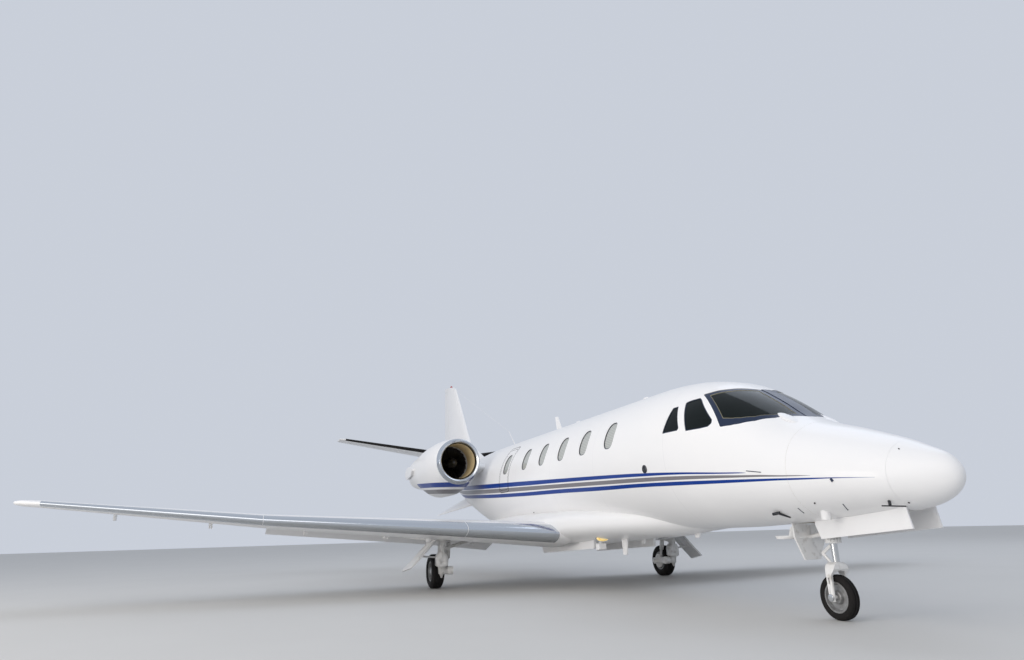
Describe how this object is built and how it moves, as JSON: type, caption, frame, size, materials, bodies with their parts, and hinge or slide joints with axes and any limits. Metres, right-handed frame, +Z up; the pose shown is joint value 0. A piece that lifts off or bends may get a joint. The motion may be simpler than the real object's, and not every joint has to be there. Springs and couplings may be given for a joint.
{
  "type": "business jet",
  "caption": "Twin-engine business jet parked on its gear: round cabin, low straight wing, engines on aft pylons, low-set tailplane, steerable nose wheel and opening doors.",
  "frame": {"origin": "on the ground under the centre of the whole aircraft's box, with the tyres standing on Z = 0", "axes": "+X towards the nose, +Y to port along the span, +Z up"},
  "size_m": [16, 17.17, 5.1595],
  "materials": {
    "white_paint": "gloss",
    "carpet": "matte",
    "panel_plastic": "matte",
    "gear_enamel": "satin",
    "wheel_alloy": "satin",
    "tyre_rubber": "matte",
    "cockpit_glass": "polished",
    "window_shade": "satin",
    "seat_leather": "satin",
    "engine_steel": "satin",
    "fan_titanium": "satin"
  },
  "bodies": {
    "airframe": {"radome": "white_paint", "nose_section": "white_paint", "fuselage_shell": "white_paint", "tailcone": "white_paint", "belly_fairing": "white_paint", "exit_hatch": "white_paint", "fin": "white_paint", "wing_left": "white_paint", "wing_right": "white_paint", "tailplane_left": "white_paint", "tailplane_right": "white_paint", "strake_left": "white_paint", "strake_right": "white_paint", "nacelle_left": "white_paint", "nacelle_right": "white_paint", "pylon_left": "white_paint", "pylon_right": "white_paint", "nose_door_left": "white_paint", "nose_door_right": "white_paint", "main_door_left": "white_paint", "main_door_right": "white_paint", "cabin_floor": "carpet", "instrument_panel": "panel_plastic", "nose_leg": "gear_enamel", "main_leg_left": "gear_enamel", "main_leg_right": "gear_enamel", "main_link_left": "gear_enamel", "main_link_right": "gear_enamel", "windshield_left": "cockpit_glass", "windshield_right": "cockpit_glass", "cockpit_glass_left": "cockpit_glass", "cockpit_glass_right": "cockpit_glass", "cabin_windows_left": "window_shade", "cabin_windows_right": "window_shade", "cockpit_seat_left": "seat_leather", "cockpit_seat_right": "seat_leather", "engine_core_left": "engine_steel", "engine_core_right": "engine_steel"},
    "entry_door": {"entry_door": "white_paint"},
    "baggage_door": {"baggage_door": "white_paint"},
    "nose_fork": {"nose_fork": "gear_enamel"},
    "nose_wheel": {"nose_wheel": "wheel_alloy", "nose_tyre": "tyre_rubber"},
    "rudder": {"rudder": "white_paint"},
    "main_wheel_left": {"main_wheel_left": "wheel_alloy", "main_tyre_left": "tyre_rubber"},
    "fan_left": {"fan_left": "fan_titanium"},
    "flap_left": {"flap_left": "white_paint"},
    "aileron_left": {"aileron_left": "white_paint"},
    "elevator_left": {"elevator_left": "white_paint"},
    "reverser_upper_left": {"reverser_upper_left": "white_paint"},
    "reverser_lower_left": {"reverser_lower_left": "white_paint"},
    "main_wheel_right": {"main_wheel_right": "wheel_alloy", "main_tyre_right": "tyre_rubber"},
    "fan_right": {"fan_right": "fan_titanium"},
    "flap_right": {"flap_right": "white_paint"},
    "aileron_right": {"aileron_right": "white_paint"},
    "elevator_right": {"elevator_right": "white_paint"},
    "reverser_upper_right": {"reverser_upper_right": "white_paint"},
    "reverser_lower_right": {"reverser_lower_right": "white_paint"}
  },
  "joints": [
    {"name": "entry_door_hinge", "type": "hinge", "parent": "airframe", "child": "entry_door", "pos_m": [4.37, 0.632, 1.085], "axis": [-1, 0, 0], "range_deg": [0, 125]},
    {"name": "baggage_door_hinge", "type": "hinge", "parent": "airframe", "child": "baggage_door", "pos_m": [-2.37, 0.724, 1.276], "axis": [-1, 0, 0], "range_deg": [0, 100]},
    {"name": "nose_steering", "type": "hinge", "parent": "airframe", "child": "nose_fork", "pos_m": [6.53, 0, 0.6], "axis": [0, 0, 1], "range_deg": [-20, 20]},
    {"name": "nose_wheel_spin", "type": "hinge", "parent": "nose_fork", "child": "nose_wheel", "pos_m": [6.5, 0, 0.209], "axis": [0, 1, 0], "continuous": true},
    {"name": "main_wheel_spin_left", "type": "hinge", "parent": "airframe", "child": "main_wheel_left", "pos_m": [-0.155, 2.305, 0.28], "axis": [0, 1, 0], "continuous": true},
    {"name": "fan_spin_left", "type": "hinge", "parent": "airframe", "child": "fan_left", "pos_m": [-2.04, 1.51, 2.3], "axis": [1, 0, 0], "continuous": true},
    {"name": "main_wheel_spin_right", "type": "hinge", "parent": "airframe", "child": "main_wheel_right", "pos_m": [-0.155, -2.305, 0.28], "axis": [0, 1, 0], "continuous": true},
    {"name": "fan_spin_right", "type": "hinge", "parent": "airframe", "child": "fan_right", "pos_m": [-2.04, -1.51, 2.3], "axis": [1, 0, 0], "continuous": true},
    {"name": "flap_hinge_left", "type": "hinge", "parent": "airframe", "child": "flap_left", "pos_m": [-0.31249, 3.1, 0.91886], "axis": [-0.0136, -0.9967, -0.0798], "range_deg": [-27, 8]},
    {"name": "aileron_hinge_left", "type": "hinge", "parent": "airframe", "child": "aileron_left", "pos_m": [-0.29855, 6.56, 1.2914], "axis": [0.0029, -0.9949, -0.1005], "range_deg": [-19, 19]},
    {"name": "elevator_hinge_left", "type": "hinge", "parent": "airframe", "child": "elevator_left", "pos_m": [-6.90907, 1.685, 3.12547], "axis": [0.0519, -0.9863, -0.1563], "range_deg": [-19, 15]},
    {"name": "reverser_upper_pivot_left", "type": "hinge", "parent": "airframe", "child": "reverser_upper_left", "pos_m": [-4.15, 1.51, 2.3], "axis": [0, -1, 0], "range_deg": [0, 32]},
    {"name": "reverser_lower_pivot_left", "type": "hinge", "parent": "airframe", "child": "reverser_lower_left", "pos_m": [-4.15, 1.51, 2.3], "axis": [0, 1, 0], "range_deg": [0, 32]},
    {"name": "flap_hinge_right", "type": "hinge", "parent": "airframe", "child": "flap_right", "pos_m": [-0.31249, -3.1, 0.91886], "axis": [0.0136, -0.9967, 0.0798], "range_deg": [-27, 8]},
    {"name": "aileron_hinge_right", "type": "hinge", "parent": "airframe", "child": "aileron_right", "pos_m": [-0.29855, -6.56, 1.2914], "axis": [-0.0029, -0.9949, 0.1005], "range_deg": [-19, 19]},
    {"name": "elevator_hinge_right", "type": "hinge", "parent": "airframe", "child": "elevator_right", "pos_m": [-6.90907, -1.685, 3.12547], "axis": [-0.0519, -0.9863, 0.1563], "range_deg": [-19, 15]},
    {"name": "reverser_upper_pivot_right", "type": "hinge", "parent": "airframe", "child": "reverser_upper_right", "pos_m": [-4.15, -1.51, 2.3], "axis": [0, -1, 0], "range_deg": [0, 32]},
    {"name": "reverser_lower_pivot_right", "type": "hinge", "parent": "airframe", "child": "reverser_lower_right", "pos_m": [-4.15, -1.51, 2.3], "axis": [0, 1, 0], "range_deg": [0, 32]},
    {"name": "rudder_hinge", "type": "hinge", "parent": "airframe", "child": "rudder", "pos_m": [-7.41279, 0, 4.01], "axis": [-0.2844, 0, 0.9587], "range_deg": [-22, 22]}
  ],
  "couplings": [
    {"joint": "flap_hinge_right", "follows": "flap_hinge_left", "ratio": 1},
    {"joint": "aileron_hinge_right", "follows": "aileron_hinge_left", "ratio": -1},
    {"joint": "elevator_hinge_right", "follows": "elevator_hinge_left", "ratio": 1},
    {"joint": "reverser_lower_pivot_left", "follows": "reverser_upper_pivot_left", "ratio": 1},
    {"joint": "reverser_lower_pivot_right", "follows": "reverser_upper_pivot_right", "ratio": 1}
  ]
}
